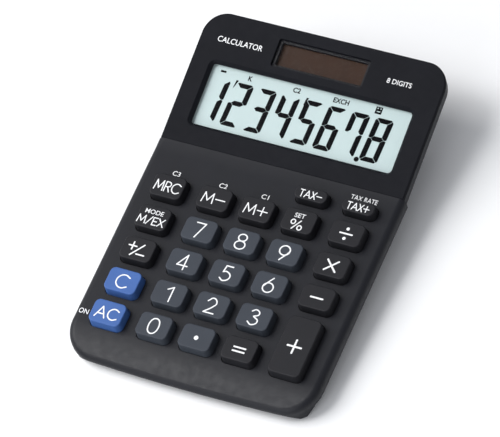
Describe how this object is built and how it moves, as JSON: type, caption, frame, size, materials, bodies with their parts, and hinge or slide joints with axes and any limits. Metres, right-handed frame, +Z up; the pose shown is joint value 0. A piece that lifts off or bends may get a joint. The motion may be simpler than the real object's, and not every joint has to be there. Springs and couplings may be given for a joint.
{
  "type": "desk calculator",
  "caption": "Wedge-shaped desk calculator with a raised display block, solar cell, sprung rubber-dome keys and a tapering screwed-on back.",
  "frame": {"origin": "middle of the footprint on the desk, under the body", "axes": "+X to the user's right, +Y away from the user towards the display, +Z up"},
  "size_m": [0.1036, 0.148, 0.0301],
  "materials": {
    "case_black": "fine satin grain",
    "panel_black": "matte fine grain",
    "key_black": "satin",
    "key_slate": "satin",
    "key_blue": "satin",
    "clear_window": "clear polished",
    "polarizer_film": "satin",
    "display_glass": "polished",
    "reflector_film": "satin silver",
    "holder_plastic": "moulded",
    "ribbon_film": "printed film",
    "solar_glass": "polished dark",
    "foam": "open foam",
    "wire_insulation": "insulated",
    "circuit_board": "solder mask",
    "epoxy_black": "potted",
    "component_ceramic": "moulded",
    "silicone": "moulded silicone",
    "carbon_rubber": "matte",
    "battery_steel": "plated",
    "contact_metal": "plated spring strip",
    "screw_steel": "zinc plated",
    "foot_rubber": "matte",
    "label_film": "printed film"
  },
  "bodies": {
    "case": {"upper_case": "case_black", "lower_case": "case_black", "display_panel": "panel_black", "display_window": "clear_window", "solar_window": "clear_window", "lcd_front_polarizer": "polarizer_film", "lcd_cell": "display_glass", "lcd_reflector": "reflector_film", "lcd_holder": "holder_plastic", "heat_seal_ribbon": "ribbon_film", "solar_cell": "solar_glass", "solar_pad": "foam", "solar_leads": "wire_insulation", "main_board": "circuit_board", "chip_blob": "epoxy_black", "board_components": "component_ceramic", "key_mat": "silicone", "carbon_pills": "carbon_rubber", "battery": "battery_steel", "battery_contact_plus": "contact_metal", "battery_contact_minus": "contact_metal", "battery_leads": "wire_insulation", "case_screws": "screw_steel", "board_screws": "screw_steel", "foot_front_left": "foot_rubber", "foot_front_right": "foot_rubber", "foot_rear_left": "foot_rubber", "foot_rear_right": "foot_rubber", "rating_label": "label_film"},
    "key_memory_recall": {"key_memory_recall": "key_black"},
    "key_memory_minus": {"key_memory_minus": "key_black"},
    "key_memory_plus": {"key_memory_plus": "key_black"},
    "key_percent": {"key_percent": "key_black"},
    "key_divide": {"key_divide": "key_black"},
    "key_tax_minus": {"key_tax_minus": "key_black"},
    "key_tax_plus": {"key_tax_plus": "key_black"},
    "key_mode_exchange": {"key_mode_exchange": "key_black"},
    "key_7": {"key_7": "key_slate"},
    "key_8": {"key_8": "key_slate"},
    "key_9": {"key_9": "key_slate"},
    "key_multiply": {"key_multiply": "key_black"},
    "key_sign_change": {"key_sign_change": "key_black"},
    "key_4": {"key_4": "key_slate"},
    "key_5": {"key_5": "key_slate"},
    "key_6": {"key_6": "key_slate"},
    "key_minus": {"key_minus": "key_black"},
    "key_clear": {"key_clear": "key_blue"},
    "key_1": {"key_1": "key_slate"},
    "key_2": {"key_2": "key_slate"},
    "key_3": {"key_3": "key_slate"},
    "key_plus": {"key_plus": "key_black"},
    "key_all_clear": {"key_all_clear": "key_blue"},
    "key_0": {"key_0": "key_slate"},
    "key_decimal": {"key_decimal": "key_slate"},
    "key_equals": {"key_equals": "key_black"}
  },
  "joints": [
    {"name": "press_memory_recall", "type": "slide", "parent": "case", "child": "key_memory_recall", "axis": [0, 0.0785, -0.9969], "range_m": [0, 0.0012], "stiffness_N_per_m": 500, "deforming": ["key_mat"]},
    {"name": "press_memory_minus", "type": "slide", "parent": "case", "child": "key_memory_minus", "axis": [0, 0.0785, -0.9969], "range_m": [0, 0.0012], "stiffness_N_per_m": 500, "deforming": ["key_mat"]},
    {"name": "press_memory_plus", "type": "slide", "parent": "case", "child": "key_memory_plus", "axis": [0, 0.0785, -0.9969], "range_m": [0, 0.0012], "stiffness_N_per_m": 500, "deforming": ["key_mat"]},
    {"name": "press_percent", "type": "slide", "parent": "case", "child": "key_percent", "axis": [0, 0.0785, -0.9969], "range_m": [0, 0.0012], "stiffness_N_per_m": 500, "deforming": ["key_mat"]},
    {"name": "press_divide", "type": "slide", "parent": "case", "child": "key_divide", "axis": [0, 0.0785, -0.9969], "range_m": [0, 0.0012], "stiffness_N_per_m": 500, "deforming": ["key_mat"]},
    {"name": "press_tax_minus", "type": "slide", "parent": "case", "child": "key_tax_minus", "axis": [0, 0.0785, -0.9969], "range_m": [0, 0.0012], "stiffness_N_per_m": 500, "deforming": ["key_mat"]},
    {"name": "press_tax_plus", "type": "slide", "parent": "case", "child": "key_tax_plus", "axis": [0, 0.0785, -0.9969], "range_m": [0, 0.0012], "stiffness_N_per_m": 500, "deforming": ["key_mat"]},
    {"name": "press_mode_exchange", "type": "slide", "parent": "case", "child": "key_mode_exchange", "axis": [0, 0.0785, -0.9969], "range_m": [0, 0.0012], "stiffness_N_per_m": 500, "deforming": ["key_mat"]},
    {"name": "press_7", "type": "slide", "parent": "case", "child": "key_7", "axis": [0, 0.0785, -0.9969], "range_m": [0, 0.0012], "stiffness_N_per_m": 500, "deforming": ["key_mat"]},
    {"name": "press_8", "type": "slide", "parent": "case", "child": "key_8", "axis": [0, 0.0785, -0.9969], "range_m": [0, 0.0012], "stiffness_N_per_m": 500, "deforming": ["key_mat"]},
    {"name": "press_9", "type": "slide", "parent": "case", "child": "key_9", "axis": [0, 0.0785, -0.9969], "range_m": [0, 0.0012], "stiffness_N_per_m": 500, "deforming": ["key_mat"]},
    {"name": "press_multiply", "type": "slide", "parent": "case", "child": "key_multiply", "axis": [0, 0.0785, -0.9969], "range_m": [0, 0.0012], "stiffness_N_per_m": 500, "deforming": ["key_mat"]},
    {"name": "press_sign_change", "type": "slide", "parent": "case", "child": "key_sign_change", "axis": [0, 0.0785, -0.9969], "range_m": [0, 0.0012], "stiffness_N_per_m": 500, "deforming": ["key_mat"]},
    {"name": "press_4", "type": "slide", "parent": "case", "child": "key_4", "axis": [0, 0.0785, -0.9969], "range_m": [0, 0.0012], "stiffness_N_per_m": 500, "deforming": ["key_mat"]},
    {"name": "press_5", "type": "slide", "parent": "case", "child": "key_5", "axis": [0, 0.0785, -0.9969], "range_m": [0, 0.0012], "stiffness_N_per_m": 500, "deforming": ["key_mat"]},
    {"name": "press_6", "type": "slide", "parent": "case", "child": "key_6", "axis": [0, 0.0785, -0.9969], "range_m": [0, 0.0012], "stiffness_N_per_m": 500, "deforming": ["key_mat"]},
    {"name": "press_minus", "type": "slide", "parent": "case", "child": "key_minus", "axis": [0, 0.0785, -0.9969], "range_m": [0, 0.0012], "stiffness_N_per_m": 500, "deforming": ["key_mat"]},
    {"name": "press_clear", "type": "slide", "parent": "case", "child": "key_clear", "axis": [0, 0.0785, -0.9969], "range_m": [0, 0.0012], "stiffness_N_per_m": 500, "deforming": ["key_mat"]},
    {"name": "press_1", "type": "slide", "parent": "case", "child": "key_1", "axis": [0, 0.0785, -0.9969], "range_m": [0, 0.0012], "stiffness_N_per_m": 500, "deforming": ["key_mat"]},
    {"name": "press_2", "type": "slide", "parent": "case", "child": "key_2", "axis": [0, 0.0785, -0.9969], "range_m": [0, 0.0012], "stiffness_N_per_m": 500, "deforming": ["key_mat"]},
    {"name": "press_3", "type": "slide", "parent": "case", "child": "key_3", "axis": [0, 0.0785, -0.9969], "range_m": [0, 0.0012], "stiffness_N_per_m": 500, "deforming": ["key_mat"]},
    {"name": "press_plus", "type": "slide", "parent": "case", "child": "key_plus", "axis": [0, 0.0785, -0.9969], "range_m": [0, 0.0012], "stiffness_N_per_m": 500, "deforming": ["key_mat"]},
    {"name": "press_all_clear", "type": "slide", "parent": "case", "child": "key_all_clear", "axis": [0, 0.0785, -0.9969], "range_m": [0, 0.0012], "stiffness_N_per_m": 500, "deforming": ["key_mat"]},
    {"name": "press_0", "type": "slide", "parent": "case", "child": "key_0", "axis": [0, 0.0785, -0.9969], "range_m": [0, 0.0012], "stiffness_N_per_m": 500, "deforming": ["key_mat"]},
    {"name": "press_decimal", "type": "slide", "parent": "case", "child": "key_decimal", "axis": [0, 0.0785, -0.9969], "range_m": [0, 0.0012], "stiffness_N_per_m": 500, "deforming": ["key_mat"]},
    {"name": "press_equals", "type": "slide", "parent": "case", "child": "key_equals", "axis": [0, 0.0785, -0.9969], "range_m": [0, 0.0012], "stiffness_N_per_m": 500, "deforming": ["key_mat"]}
  ]
}
